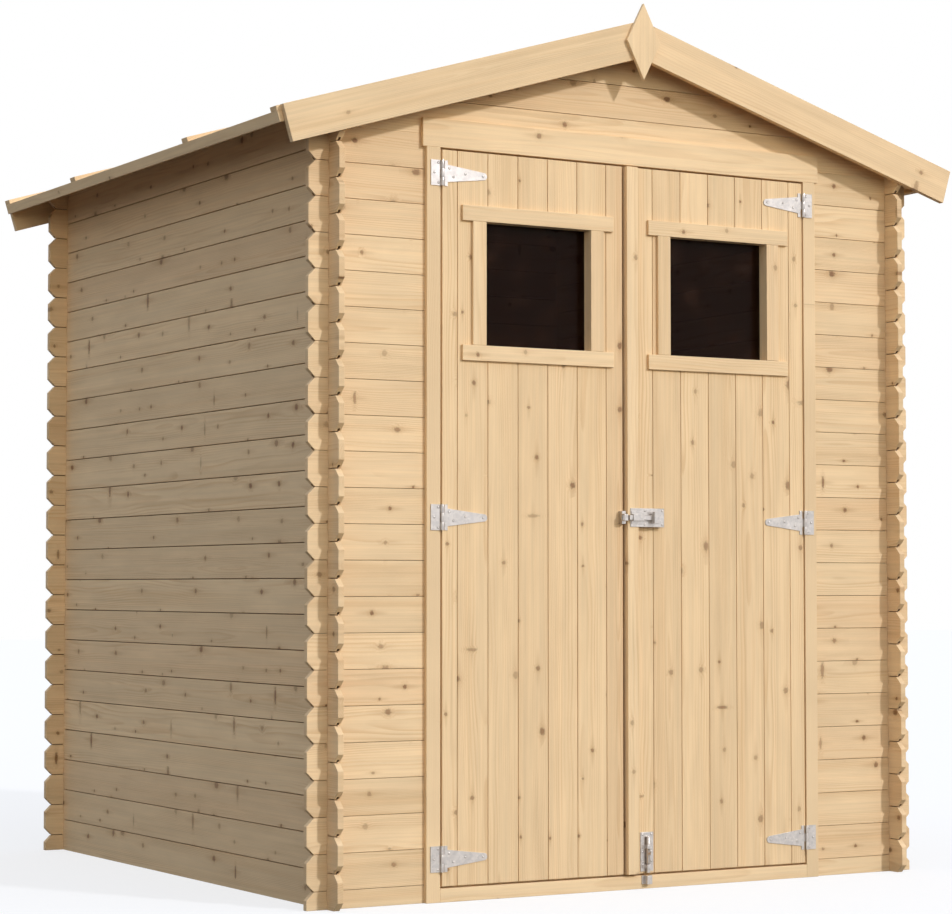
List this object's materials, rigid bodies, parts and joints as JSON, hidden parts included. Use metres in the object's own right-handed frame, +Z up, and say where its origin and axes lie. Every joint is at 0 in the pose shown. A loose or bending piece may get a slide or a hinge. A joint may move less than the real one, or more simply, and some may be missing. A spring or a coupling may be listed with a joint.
{
  "type": "wooden garden shed",
  "caption": "Small log-built garden shed with interlocking corners, a pitched board roof, double doors with windows on strap hinges, a latch and a foot bolt.",
  "frame": {"origin": "centre of the footprint on the ground, under the middle of the bounding box", "axes": "+Z up, +Y from the doors to the rear wall, +X to the right seen from the front"},
  "size_m": [2.0736, 1.874, 2.2697],
  "materials": {
    "log_board_pine": "planed raw pine with knots",
    "roof_board_pine": "planed raw pine",
    "door_board_pine": "planed raw pine",
    "trim_pine": "planed raw pine",
    "zinc_plated_steel": "bright zinc plating",
    "window_pane": "clear sheet"
  },
  "bodies": {
    "shed": {"left_wall": "log_board_pine", "right_wall": "log_board_pine", "rear_wall": "log_board_pine", "front_wall_left": "log_board_pine", "front_wall_right": "log_board_pine", "front_gable": "log_board_pine", "left_jamb": "trim_pine", "right_jamb": "trim_pine", "door_head": "trim_pine", "header_board": "trim_pine", "door_sill": "trim_pine", "roof_deck_left": "roof_board_pine", "roof_deck_right": "roof_board_pine", "ridge_purlin": "roof_board_pine", "eave_board_left": "trim_pine", "eave_board_right": "trim_pine", "front_bargeboard_left": "trim_pine", "front_bargeboard_right": "trim_pine", "rear_bargeboard_left": "trim_pine", "rear_bargeboard_right": "trim_pine", "front_finial": "trim_pine", "rear_finial": "trim_pine", "roof_battens_left": "trim_pine", "roof_battens_right": "trim_pine", "left_hinge_plates": "zinc_plated_steel", "right_hinge_plates": "zinc_plated_steel", "foot_bolt_keeper": "zinc_plated_steel"},
    "left_door": {"left_door_leaf": "door_board_pine", "left_door_ledges": "door_board_pine", "left_window_trim": "trim_pine", "left_window_frame": "trim_pine", "left_window_pane": "window_pane", "left_hinge_straps": "zinc_plated_steel", "latch_keeper": "zinc_plated_steel"},
    "right_door": {"right_door_leaf": "door_board_pine", "right_door_ledges": "door_board_pine", "right_window_trim": "trim_pine", "right_window_frame": "trim_pine", "right_window_pane": "window_pane", "right_hinge_straps": "zinc_plated_steel", "meeting_strip": "trim_pine", "latch_plate": "zinc_plated_steel", "foot_bolt_plate": "zinc_plated_steel"},
    "latch_bolt": {"latch_bolt": "zinc_plated_steel"},
    "foot_bolt": {"foot_bolt": "zinc_plated_steel"}
  },
  "joints": [
    {"name": "left_door_hinge", "type": "hinge", "parent": "shed", "child": "left_door", "pos_m": [-0.5585, -0.872, 0.943], "axis": [0, 0, -1], "range_deg": [0, 160]},
    {"name": "right_door_hinge", "type": "hinge", "parent": "shed", "child": "right_door", "pos_m": [0.5585, -0.872, 0.943], "axis": [0, 0, 1], "range_deg": [0, 160]},
    {"name": "latch_bolt_slide", "type": "slide", "parent": "right_door", "child": "latch_bolt", "axis": [-1, 0, 0], "range_m": [0, 0.02]},
    {"name": "foot_bolt_slide", "type": "slide", "parent": "right_door", "child": "foot_bolt", "axis": [0, 0, -1], "range_m": [0, 0.02]}
  ]
}
